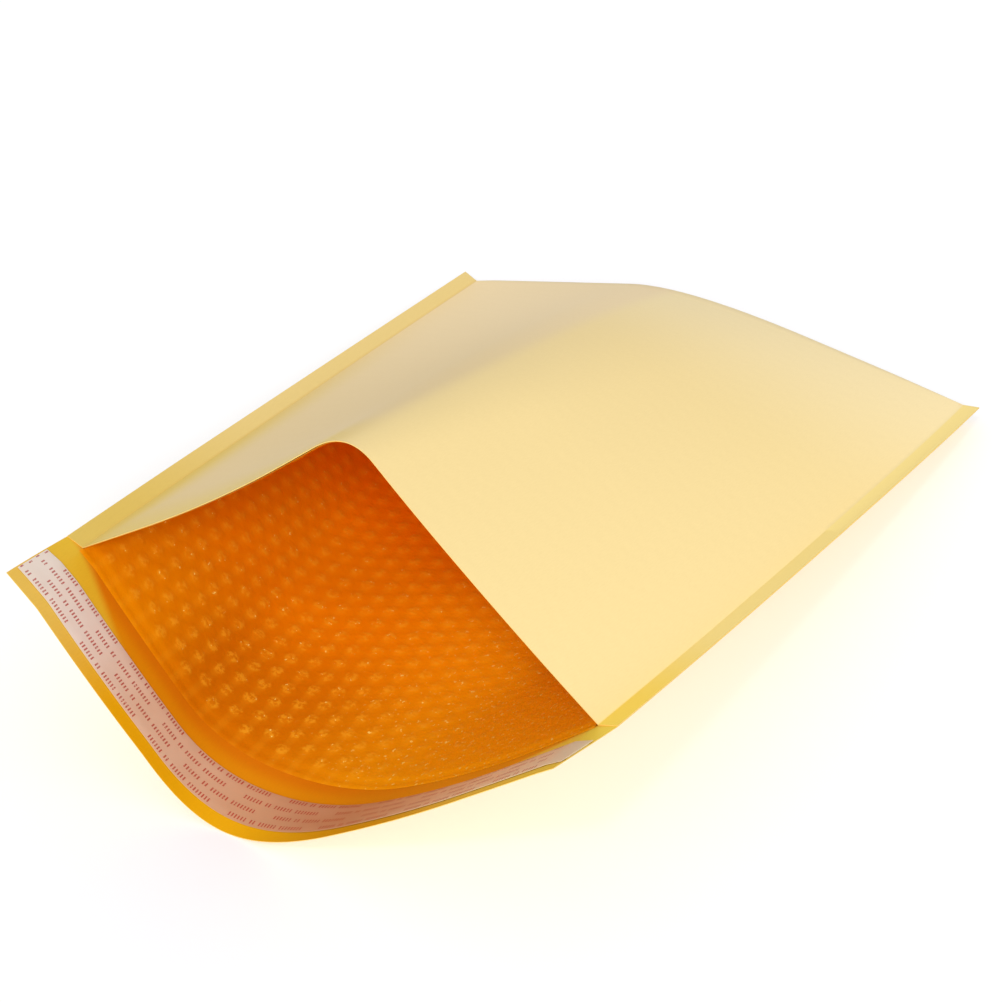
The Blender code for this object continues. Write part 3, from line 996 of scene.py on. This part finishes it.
@dataclass(frozen=True)
class FilmFinish:
    """Glossy bubble film: orange, with painted light and shade that vary by place.

    It is painted darker by the mouth, lighter by the left seam and on the creased right side, and redder
    and brighter far inside, as a painted glow. Its bubbles have pale spots, painted stronger by the mouth
    where light comes in, and painted glints.
    """

    # Painted light and shade: the film's orange is painted darker by the mouth, lighter by the left seam
    # and further in, and as a redder, brighter glow far inside
    mouth: Colour = from_screen(208, 116, 2)
    left: Colour = from_screen(230, 140, 2)
    left_fade: Span = (0.075, 0.03)
    middle: Colour = from_screen(238, 136, 2)
    middle_fade: Span = (0.03, 0.09)
    painted_deep_glow: Colour = from_screen(254, 122, 0)
    painted_deep_glow_fade: Span = (0.11, 0.20)
    # Painted light on the right side by the mouth, where the film is creased
    creased: Colour = from_screen(255, 174, 10)
    creased_side: Span = (0.10, 0.20)
    light_by_mouth_span: Span = (0.25, 0.02)
    # Pale spots on the bubbles and along their rows, painted stronger by the mouth as light
    spot: Colour = from_screen(244, 172, 36)
    spot_puff: Span = (0.15, 0.75)
    spot_light_gain: Gain = (0.55, 0.08)
    patches: Grain = (430.0, 3.0, 0.6)
    patch_span: Span = (0.42, 0.58)
    row_span: Span = (-0.2, 1.0)
    row_light_gain: Gain = (0.06, 0.07)
    # Painted glints: specks of highlight painted into the colour, mostly by the mouth
    glint: Colour = from_screen(255, 234, 122)
    glint_strength: float = 0.85
    glint_stretch: Direction = (0.95, 0.7, 1.0)
    painted_glints: Grain = (560.0, 2.5, 0.6)
    glint_span: Span = (0.65, 0.68)
    glint_puff: Span = (0.2, 0.6)
    # How much denser the painted glints are on the creased side
    creased_glints: float = 0.03
    wrinkles: Grain = (430.0, 4.0, 0.65)
    wrinkle_relief: Relief = (0.35, 0.0005)
    shine: Colour = (1.0, 0.72, 0.32)
    roughness: float = 0.32
    specular: float = 0.5
    coat: float = 0.10
    coat_roughness: float = 0.15

    def material(self, flat: FlatMailer) -> bpy.types.Material:
        """The material of the film.

        Args:
            flat: Sizes of the flat mailer.

        Returns:
            The material.
        """
        writer = SheetWriter("bubble_film")
        puff = writer.node("ShaderNodeAttribute", attribute_name=PUFF).outputs["Fac"]
        # Where light comes in at the mouth: the painted light, spots and glints show most there
        light_by_mouth = writer.soft_step(writer.along, self.light_by_mouth_span)
        creased = writer.soft_step(writer.across, self.creased_side)
        creased_light_by_mouth = writer.product(creased, light_by_mouth)
        # The film's painted light and shade by place, with its painted glow far inside
        colour = writer.fade(writer.across, self.left_fade, self.mouth, self.left)
        colour = writer.fade(writer.along, self.middle_fade, colour, self.middle)
        colour = writer.fade(writer.along, self.painted_deep_glow_fade, colour, self.painted_deep_glow)
        # Painted light on the creased right side by the mouth
        colour = writer.blend(creased_light_by_mouth, colour, self.creased)
        patches = writer.soft_step(writer.noise(writer.vector, self.patches), self.patch_span)
        # The pale spots and rows, with painted light by the mouth
        light_gain = writer.maths("MULTIPLY_ADD", light_by_mouth, *self.spot_light_gain)
        spots = writer.product(writer.soft_step(puff, self.spot_puff), patches, light_gain)
        colour = writer.blend(spots, colour, self.spot)
        turns = writer.maths("COSINE", writer.product(writer.across, 2 * math.pi / flat.row_spacing))
        light_gain = writer.maths("MULTIPLY_ADD", light_by_mouth, *self.row_light_gain)
        rows = writer.product(writer.soft_step(turns, self.row_span), light_gain)
        colour = writer.blend(rows, colour, self.spot)
        # Painted glints, mostly by the mouth and on the creased side
        painted_glints = writer.noise(writer.stretched(writer.vector, self.glint_stretch), self.painted_glints)
        painted_glints = writer.maths("MULTIPLY_ADD", creased_light_by_mouth, self.creased_glints, painted_glints)
        bubbly = writer.maths("MAXIMUM", writer.soft_step(puff, self.glint_puff), creased)
        lit = writer.product(light_by_mouth, self.glint_strength)
        painted_glints = writer.product(writer.soft_step(painted_glints, self.glint_span), bubbly, lit)
        colour = writer.blend(painted_glints, colour, self.glint)
        normal = writer.bump(writer.noise(writer.vector, self.wrinkles), self.wrinkle_relief)
        writer.set(Base_Color=colour, Roughness=self.roughness, Normal=normal)
        writer.set(Specular_Tint=self.shine, Specular_IOR_Level=self.specular)
        writer.set(Coat_Weight=self.coat, Coat_Roughness=self.coat_roughness)
        return writer.material


@dataclass(frozen=True)
class CoverFinish:
    """Pale release paper with rows of short red bars, warmer towards the middle.

    There the orange below shows through, and painted orange bounce light from the pouch adds to it; the
    right end is painted paler, out of that light.
    """

    pale: Colour = from_screen(232, 219, 207)
    # Warmer towards the middle: the orange below shows through, with painted orange bounce light
    warm: Colour = from_screen(224, 192, 164)
    warm_fade: Span = (0.02, 0.07)
    glow_and_show_through: Colour = from_screen(203, 155, 118)
    glow_and_show_through_fade: Span = (0.07, 0.13)
    # Painted light: the right end is painted paler, out of the orange bounce light
    right: Colour = from_screen(246, 226, 188)
    right_fade: Span = (0.16, 0.25)
    clouds: Grain = (60.0, 3.0, 0.5)
    cloud_span: Span = (0.3, 0.8)
    cloud_tint: Colour = (0.95, 0.92, 0.90)
    red: Colour = from_screen(172, 42, 28)
    ink_strength: float = 0.85
    wear: Grain = (1500.0, 2.0, 0.5)
    wear_span: Span = (0.30, 0.45)
    # The rows of bars past the mouth
    first_row: float = 0.022
    row_pitch: float = 0.0054
    bar_height: float = 0.0021
    # The bars along a row, in groups that start at one place on even rows and at another on odd ones
    bar_pitch: float = 0.00142
    bar_share: float = 0.46
    group_pitch: float = 0.0442
    group_bars: int = 25
    group_starts: tuple[float, float] = (0.0298, 0.0033)
    # The bars of each group that are left out, and where the last group is cut off
    gaps: tuple[int, ...] = (6, 9, 16)
    last_bar: float = 0.272
    grain_stretch: Direction = (900.0, 260.0, 1.0)
    grain: Grain = (1.0, 3.0, 0.5)
    grain_relief: Relief = (0.12, 0.0002)
    roughness: float = 0.38
    coat: float = 0.15
    coat_roughness: float = 0.2

    def _bars(self, writer: SheetWriter) -> bpy.types.NodeSocket:
        """The mask of the printed bars, whose groups start at another place on every second row.

        Args:
            writer: The material's writer.

        Returns:
            1 on a bar and 0 beside it.
        """
        past = writer.product(writer.along, -1.0)
        rows = writer.maths("DIVIDE", writer.maths("SUBTRACT", past, self.first_row), self.row_pitch)
        row = writer.maths("ROUND", rows)
        off_row = writer.maths("ABSOLUTE", writer.maths("SUBTRACT", rows, row))
        on_row = writer.maths("LESS_THAN", off_row, self.bar_height / self.row_pitch / 2)
        odd = writer.maths("FLOORED_MODULO", row, 2.0)
        step = self.group_starts[1] - self.group_starts[0]
        start = writer.maths("MULTIPLY_ADD", odd, step, self.group_starts[0])
        moved = writer.maths("SUBTRACT", writer.across, start)
        phase = writer.maths("FLOORED_MODULO", moved, self.group_pitch)
        place = writer.maths("DIVIDE", phase, self.bar_pitch)
        number = writer.maths("FLOOR", place)
        on_bar = writer.maths("LESS_THAN", writer.maths("FRACT", place), self.bar_share)
        before_end = writer.maths("LESS_THAN", writer.across, self.last_bar)
        in_group = writer.maths("LESS_THAN", number, self.group_bars - 0.5)
        mask = writer.product(on_row, on_bar, before_end, in_group)
        for gap in self.gaps:
            here = writer.maths("COMPARE", number, float(gap), 0.5)
            mask = writer.product(mask, writer.maths("SUBTRACT", 1.0, here))
        return mask

    def material(self) -> bpy.types.Material:
        """The material of the cover.

        Returns:
            The material.
        """
        writer = SheetWriter("cover_paper")
        # The orange below showing through, with painted orange bounce light, and a paler right end as
        # painted light
        colour = writer.fade(writer.across, self.warm_fade, self.pale, self.warm)
        colour = writer.fade(writer.across, self.glow_and_show_through_fade, colour, self.glow_and_show_through)
        colour = writer.fade(writer.across, self.right_fade, colour, self.right)
        clouds = writer.soft_step(writer.noise(writer.vector, self.clouds), self.cloud_span)
        colour = writer.blend(clouds, colour, self.cloud_tint, "MULTIPLY")
        worn = writer.soft_step(writer.noise(writer.vector, self.wear), self.wear_span)
        ink = writer.product(self._bars(writer), worn, self.ink_strength)
        colour = writer.blend(ink, colour, self.red)
        grain = writer.noise(writer.stretched(writer.vector, self.grain_stretch), self.grain)
        normal = writer.bump(grain, self.grain_relief)
        writer.set(Base_Color=colour, Roughness=self.roughness, Normal=normal)
        writer.set(Coat_Weight=self.coat, Coat_Roughness=self.coat_roughness)
        return writer.material


@dataclass(frozen=True)
class AdhesiveFinish:
    """Clear hot-melt adhesive, laid in faint ribs along the strip."""

    colour: Colour = from_screen(236, 222, 190)
    thick: Colour = from_screen(222, 196, 146)
    rib_stretch: Direction = (20.0, 700.0, 700.0)
    ribs: Grain = (1.0, 3.0, 0.5)
    rib_relief: Relief = (0.3, 0.0002)
    roughness: float = 0.3

    def material(self) -> bpy.types.Material:
        """The material of the adhesive.

        Returns:
            The material.
        """
        writer = NodeWriter("hot_melt")
        vector = writer.node("ShaderNodeTexCoord").outputs["Object"]
        ribs = writer.noise(writer.stretched(vector, self.rib_stretch), self.ribs)
        colour = writer.blend(ribs, self.colour, self.thick)
        writer.set(Base_Color=colour, Roughness=self.roughness, Normal=writer.bump(ribs, self.rib_relief))
        return writer.material


class KraftSide(Enum):
    """The finish numbers of the kraft sheet."""

    OUTSIDE = 0
    INSIDE = 1
    EDGE = 2


def joined(row: list[int], ends: list[int]) -> list[int]:
    """The row between the first and the last point of another row."""
    return [ends[0], *row, ends[-1]]


def part_of(rows: Row, start: int, stop: int | None) -> Row:
    """A stretch of a row."""
    return Row(rows.points[start:stop], rows.places[start:stop])


@dataclass
class Envelope:
    """The folded kraft sheet, with both seam bands and the flap."""

    flat: FlatMailer
    columns: int = 168
    body_steps: int = 110
    flap_steps: int = 24
    fold_steps: int = 5
    crease_angle: float = math.radians(40)

    def build(self) -> Skin:
        """Lays the sheet's inner and outer faces and closes its edges.

        Returns:
            The sheet's skin.
        """
        form = SheetForm(self.flat, self.columns)
        skin = Skin()
        inside, outside = KraftSide.INSIDE.value, KraftSide.OUTSIDE.value
        edge = KraftSide.EDGE.value
        distances = np.linspace(self.flat.flap_length, 0, self.flap_steps + 1)
        shares = np.linspace(0, 1, self.body_steps + 1)
        top = [skin.lay(form.flap_row(distance, 0)) for distance in distances]
        under = [skin.lay(form.flap_row(distance, -self.flat.paper)) for distance in distances[:-1]]
        skin.strips(top, inside)
        skin.strip(top[0], under[0], edge)
        mouth = self._lay_inside(skin, form, shares, top[-1][1:-1])
        outer = {panel: [form.outer_row(panel, share) for share in shares] for panel in Panel}
        backs, fronts = ([skin.lay(row) for row in outer[panel]] for panel in Panel)
        ends = form.fold_rows(outer[Panel.BACK][-1], outer[Panel.FRONT][-1], self.fold_steps)
        fold = [skin.lay(row) for row in ends]
        skin.strips([*under, *backs, *fold, *reversed(fronts)], outside)
        skin.strip(joined(mouth, top[-1]), fronts[0], edge)
        for end in (0, -1):
            self._close_side(skin, end, top, under, backs, fronts, fold)
        return skin

    def _lay_inside(
        self, skin: Skin, form: SheetForm, shares: np.ndarray, first_back: list[int]
    ) -> list[int]:
        """The pouch's inner face, from the back's mouth edge round the fold to the front's.

        Args:
            skin: The skin that it joins.
            form: The sheet's form.
            shares: Where its rows lie.
            first_back: The back panel's mouth row, which the flap shares.

        Returns:
            The front panel's mouth row.
        """
        inside = KraftSide.INSIDE.value
        back_rows = [form.panel_row(Panel.BACK, share) for share in shares]
        front_rows = [form.panel_row(Panel.FRONT, share) for share in shares]
        backs = [first_back, *[skin.lay(row) for row in back_rows[1:]]]
        fronts = [joined(skin.lay(part_of(row, 1, -1)), back) for row, back in zip(front_rows, backs)]
        ends = form.fold_rows(back_rows[-1], front_rows[-1], self.fold_steps)
        fold = [joined(skin.lay(part_of(row, 1, -1)), backs[-1]) for row in ends]
        skin.strips([*backs, *fold, *reversed(fronts)], inside)
        return fronts[0]

    @staticmethod
    def _close_side(
        skin: Skin,
        end: int,
        top: list[list[int]],
        under: list[list[int]],
        backs: list[list[int]],
        fronts: list[list[int]],
        fold: list[list[int]],
    ) -> None:
        """The cut edge of one side: the flap's one ply, the band's two plies and the fold's end.

        Args:
            skin: The skin that it joins.
            end: Which end of each row it closes, 0 for the left and -1 for the right.
            top: Rows of the flap's inner face.
            under: Rows of the flap's outer face.
            backs: Rows of the back panel's outer face.
            fronts: Rows of the front panel's outer face.
            fold: Rows of the fold's outer face.
        """
        edge = KraftSide.EDGE.value
        skin.strip([row[end] for row in top], [row[end] for row in [*under, backs[0]]], edge)
        corners = (backs[0], backs[1], fronts[1], fronts[0], top[-1])
        skin.face(tuple(row[end] for row in corners), edge)
        skin.strip([row[end] for row in backs[1:]], [row[end] for row in fronts[1:]], edge)
        skin.face(tuple(row[end] for row in [backs[-1], *fold, fronts[-1]]), edge)

    def make(self) -> tuple[bpy.types.Object, np.ndarray]:
        """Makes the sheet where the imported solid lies.

        Returns:
            The object, and the move from the form's place to the frame's.
        """
        skin = self.build()
        points = np.array(skin.points)
        low, high = (np.array(corner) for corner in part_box("kraft_envelope"))
        shift = (low + high) / 2 - (points.min(axis=0) + points.max(axis=0)) / 2
        shift[2] = low[2] - points[:, 2].min()
        materials = [
            KraftFinish().material(self.flat),
            InnerKraftFinish().material(self.flat),
            CutEdgeFinish().material(),
        ]
        LOG.info("the form moves by %s", shift.round(6).tolist())
        return skin.make("kraft_sheet", materials, shift, self.crease_angle), shift


@dataclass
class BubbleLiner:
    """The bubble film inside both panels, folded with the paper."""

    flat: FlatMailer
    columns: int = 200
    back_steps: int = 280
    front_steps: int = 160
    outer_steps: int = 10
    fold_steps: int = 3
    clearance: float = 0.0003
    film: float = 0.0006
    lip_share: float = 0.25
    lip_along: Span = (0.001, 0.006)
    edge_share: float = 0.35
    past_mouth: float = 0.0025
    front_setback: float = 0.001
    bubble_radius: float = 0.0044
    bubble_height: float = 0.0003
    dome_power: float = 1.5
    creased_height: float = 0.4
    creased_across: Span = (0.12, 0.20)
    crushed_edge: Span = (0.002, 0.012)
    flattened_along: Span = (0.342, 0.362)
    crease_angle: float = math.radians(70)

    def fullness(self, across: np.ndarray, along: float) -> np.ndarray:
        """How full the bubble is at each column of a row, from 0 between bubbles to 1 on top.

        Args:
            across: Each column's distance from the left seam.
            along: The row's distance from the mouth.

        Returns:
            One value for each column.
        """
        spacing = self.flat.row_spacing
        pitch = self.flat.bubble_pitch
        nearest = np.full(len(across), np.inf)
        for parity in (0, 1):
            column = np.round((across / spacing - parity) / 2) * 2 + parity
            lag = 0.5 * (1 - parity)
            step = max(round((along - self.flat.first_bubble) / pitch - lag), 0) + lag
            apart = np.hypot(across - column * spacing, along - self.flat.first_bubble - step * pitch)
            nearest = np.minimum(nearest, apart)
        dome = np.clip(1 - (nearest / self.bubble_radius) ** 2, 0, 1) ** self.dome_power
        edge = np.minimum(across, self.flat.inner_width - across)
        full = dome * smooth_step(*self.crushed_edge, edge)
        return full * (1 - smooth_step(*self.flattened_along, along))

    def _row(
        self, form: SheetForm, panel: Panel, share: float, bubbled: bool
    ) -> tuple[Row, np.ndarray | None]:
        """A row across one face of the film.

        Args:
            form: The sheet's form.
            panel: The panel that it lies on.
            share: How far from the mouth to the fold it lies.
            bubbled: Whether it is of the side with the bubbles.

        Returns:
            The row, and how full its bubbles are, or None on the smooth side.
        """
        if not bubbled:
            return form.panel_row(panel, share, self.clearance), None
        along = share * self.flat.fold_start
        full = self.fullness(form.across, along)
        film = self.film * mix(self.lip_share, 1, smooth_step(*self.lip_along, along))
        creased = smooth_step(*self.creased_across, form.across)
        heights = self.bubble_height * mix(1, self.creased_height, creased) * full
        return form.panel_row(panel, share, self.clearance + film + heights), full

    def _lap(self, form: SheetForm, lift: float) -> list[Row]:
        """Rows of the smooth edge that runs on past the mouth, where it comes down to the paper."""
        steps = ((self.past_mouth, lift * self.edge_share), (self.past_mouth / 2, lift))
        return [part_of(form.flap_row(distance, height), 1, -1) for distance, height in steps]

    def build(self) -> Skin:
        """Lays the film's two faces and joins them along the mouth.

        Returns:
            The film's skin.
        """
        form = SheetForm(self.flat, self.columns)
        skin = Skin()
        outer_back, outer_front = self._face(form, skin, False)
        inner_back, inner_front = self._face(form, skin, True)
        skin.strip(outer_back, inner_back, 0)
        skin.strip(outer_front, inner_front, 0)
        return skin

    def _face(self, form: SheetForm, skin: Skin, bubbled: bool) -> tuple[list[int], list[int]]:
        """One face of the film, from the back's mouth edge round the fold to the front's.

        Args:
            form: The sheet's form.
            skin: The skin that it joins.
            bubbled: Whether it is the side with the bubbles.

        Returns:
            The rows along the back's and the front's mouth edge.
        """
        lift = self.clearance + (self.film * self.lip_share if bubbled else 0)
        steps = {Panel.BACK: self.back_steps, Panel.FRONT: self.front_steps}
        starts = {Panel.BACK: 0.0, Panel.FRONT: self.front_setback / self.flat.fold_start}
        rows = {Panel.BACK: [skin.lay(row) for row in self._lap(form, lift)], Panel.FRONT: []}
        last = []
        for panel in Panel:
            count = steps[panel] if bubbled else self.outer_steps
            for share in np.linspace(starts[panel], 1, count + 1):
                row, full = self._row(form, panel, share, bubbled)
                rows[panel].append(skin.lay(row, full))
            last.append(row)
        fold = [skin.lay(row) for row in form.fold_rows(*last, self.fold_steps)]
        skin.strips([*rows[Panel.BACK], *fold, *reversed(rows[Panel.FRONT])], 0)
        return rows[Panel.BACK][0], rows[Panel.FRONT][0]

    def make(self, shift: np.ndarray) -> bpy.types.Object:
        """Makes the film, moved with the sheet."""
        material = FilmFinish().material(self.flat)
        return self.build().make("bubble_film", [material], shift, self.crease_angle)


@dataclass
class FlapStrip:
    """A thin strip that runs from side to side of the flap, its edges and ends down on the paper."""

    flat: FlatMailer
    width: float
    margin: float
    lift: float
    end_lift: float
    thickness: float = 0.00014
    edge_lift: float = 0.0003
    drape: float = 0.0028
    columns: int = 168
    steps: int = 14
    end_margin: float = 0.0006
    crease_angle: float = math.radians(40)

    def make(self, name: str, material: bpy.types.Material, shift: np.ndarray) -> bpy.types.Object:
        """Makes the strip, moved with the sheet.

        Args:
            name: Its name.
            material: Its material.
            shift: The move from the form's place to the frame's.

        Returns:
            The new object.
        """
        form = SheetForm(self.flat, self.columns)
        skin = Skin()
        far = self.flat.flap_length - self.margin
        distances = np.linspace(far, far - self.width, self.steps + 1)
        from_edge = np.minimum(far - distances, distances - (far - self.width))
        lifts = mix(self.edge_lift, self.lift, smooth_step(0, self.drape, from_edge))
        highest = np.full(len(form.across) + 2, self.lift)
        highest[[0, -1]] = self.end_lift
        faces = []
        for depth in (0, self.thickness):
            heights = [np.minimum(highest, lift) + depth for lift in lifts]
            rows = [form.flap_row(distance, height) for distance, height in zip(distances, heights)]
            for row in rows:
                self._trim(row)
            faces.append([skin.lay(row) for row in rows])
        under, top = faces
        for rows in faces:
            skin.strips(rows, 0)
        for end in (0, -1):
            skin.strip(under[end], top[end], 0)
            skin.strip([row[end] for row in under], [row[end] for row in top], 0)
        return skin.make(name, [material], shift, self.crease_angle)

    def _trim(self, row: Row) -> None:
        """Draws both ends of a row in from the sheet's cut edges.

        Args:
            row: The row, which it changes.
        """
        share = self.end_margin / self.flat.seam_width
        for values in (row.points, row.places):
            values[0] = mix(values[0], values[1], share)
            values[-1] = mix(values[-1], values[-2], share)


@dataclass(frozen=True)
class Sun:
    """A far light: where it comes from, how strong it is and how wide it stands in the sky."""

    come_from: Direction
    strength: float
    softness: float

    def make(self, name: str) -> None:
        """Hangs the light.

        Args:
            name: Its name.
        """
        light = bpy.data.lights.new(name, "SUN")
        light.energy = self.strength
        light.angle = self.softness
        sun = bpy.data.objects.new(name, light)
        sun.rotation_euler = Vector(self.come_from).to_track_quat("Z", "Y").to_euler()
        bpy.context.scene.collection.objects.link(sun)


@dataclass
class Studio:
    """The floor, the lights and the camera."""

    floor_size: float = 6.0
    floor_gap: float = 0.0002
    floor_colour: Colour = from_screen(252, 252, 254)
    floor_roughness: float = 0.9
    world_strength: float = 0.59
    key: Sun = Sun(come_from=(0.42, -0.73, 0.54), strength=2.05, softness=math.radians(20))
    mouth: Sun = Sun(come_from=(-0.15, -0.90, 0.40), strength=0.55, softness=math.radians(60))
    glint: Sun = Sun(come_from=(0.10, -0.60, 0.79), strength=0.25, softness=math.radians(5))
    target: Direction = (0.00524, -0.03403, 0.05139)
    azimuth: float = math.radians(28.96)
    elevation: float = math.radians(34.45)
    roll: float = math.radians(-0.63)
    distance: float = 0.8968
    lens: float = 75.95
    sensor_width: float = 36.0

    def make(self) -> None:
        """Builds the whole studio."""
        self._floor()
        self._world()
        self.key.make("key_light")
        self.mouth.make("mouth_light")
        self.glint.make("glint_light")
        self._camera()

    def _floor(self) -> None:
        """A pale floor just under the mailer."""
        half = self.floor_size / 2
        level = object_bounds()[0][2] - self.floor_gap
        mesh = bpy.data.meshes.new("floor")
        corners = [(-half, -half, level), (half, -half, level), (half, half, level), (-half, half, level)]
        mesh.from_pydata(corners, [], [(0, 1, 2, 3)])
        writer = NodeWriter("pale_floor")
        writer.set(Base_Color=self.floor_colour, Roughness=self.floor_roughness, Specular_IOR_Level=0.0)
        mesh.materials.append(writer.material)
        floor = bpy.data.objects.new("floor", mesh)
        bpy.context.scene.collection.objects.link(floor)
        floor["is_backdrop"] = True

    def _world(self) -> None:
        """An even white sky."""
        world = bpy.data.worlds.new("sky")
        world.use_nodes = True
        sky = world.node_tree.nodes["Background"]
        sky.inputs["Color"].default_value = (1.0, 1.0, 1.0, 1.0)
        sky.inputs["Strength"].default_value = self.world_strength
        bpy.context.scene.world = world

    def _camera(self) -> None:
        """The camera at the photograph's angle."""
        back = Vector(
            (
                math.sin(self.azimuth) * math.cos(self.elevation),
                -math.cos(self.azimuth) * math.cos(self.elevation),
                math.sin(self.elevation),
            )
        )
        right = Vector((math.cos(self.azimuth), math.sin(self.azimuth), 0))
        up = back.cross(right)
        turned_right = right * math.cos(self.roll) + up * math.sin(self.roll)
        turned_up = up * math.cos(self.roll) - right * math.sin(self.roll)
        camera = bpy.data.objects.new("camera", bpy.data.cameras.new("camera"))
        turn = Matrix((turned_right, turned_up, back)).transposed().to_4x4()
        camera.matrix_world = Matrix.Translation(Vector(self.target) + back * self.distance) @ turn
        camera.data.lens = self.lens
        camera.data.sensor_width = self.sensor_width
        bpy.context.scene.collection.objects.link(camera)
        bpy.context.scene.camera = camera


def dress(piece: bpy.types.Object, node: str) -> None:
    """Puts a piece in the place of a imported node.

    Args:
        piece: The piece.
        node: The node that it stands for.
    """
    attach(piece, "root")
    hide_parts(node)
    LOG.info("%s stands for %s, with %d faces", piece.name, node, len(piece.data.polygons))


def main() -> None:
    """Builds the mailer and its studio."""
    logging.basicConfig(level=logging.INFO, format="%(name)s: %(message)s")
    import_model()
    flat = FlatMailer()
    sheet, shift = Envelope(flat).make()
    dress(sheet, "kraft_envelope")
    dress(BubbleLiner(flat).make(shift), "bubble_liner")
    cover = FlapStrip(flat, width=0.020, margin=0.0065, lift=0.0005, end_lift=0.0003)
    adhesive = FlapStrip(flat, width=0.014, margin=0.0095, lift=0.0002, end_lift=0.0001)
    dress(cover.make("cover_strip", CoverFinish().material(), shift), "release_liner")
    dress(adhesive.make("hot_melt_strip", AdhesiveFinish().material(), shift), "adhesive_strip")
    Studio().make()
    bpy.context.scene.view_settings.view_transform = "Standard"


if __name__ == "__main__":
    main()
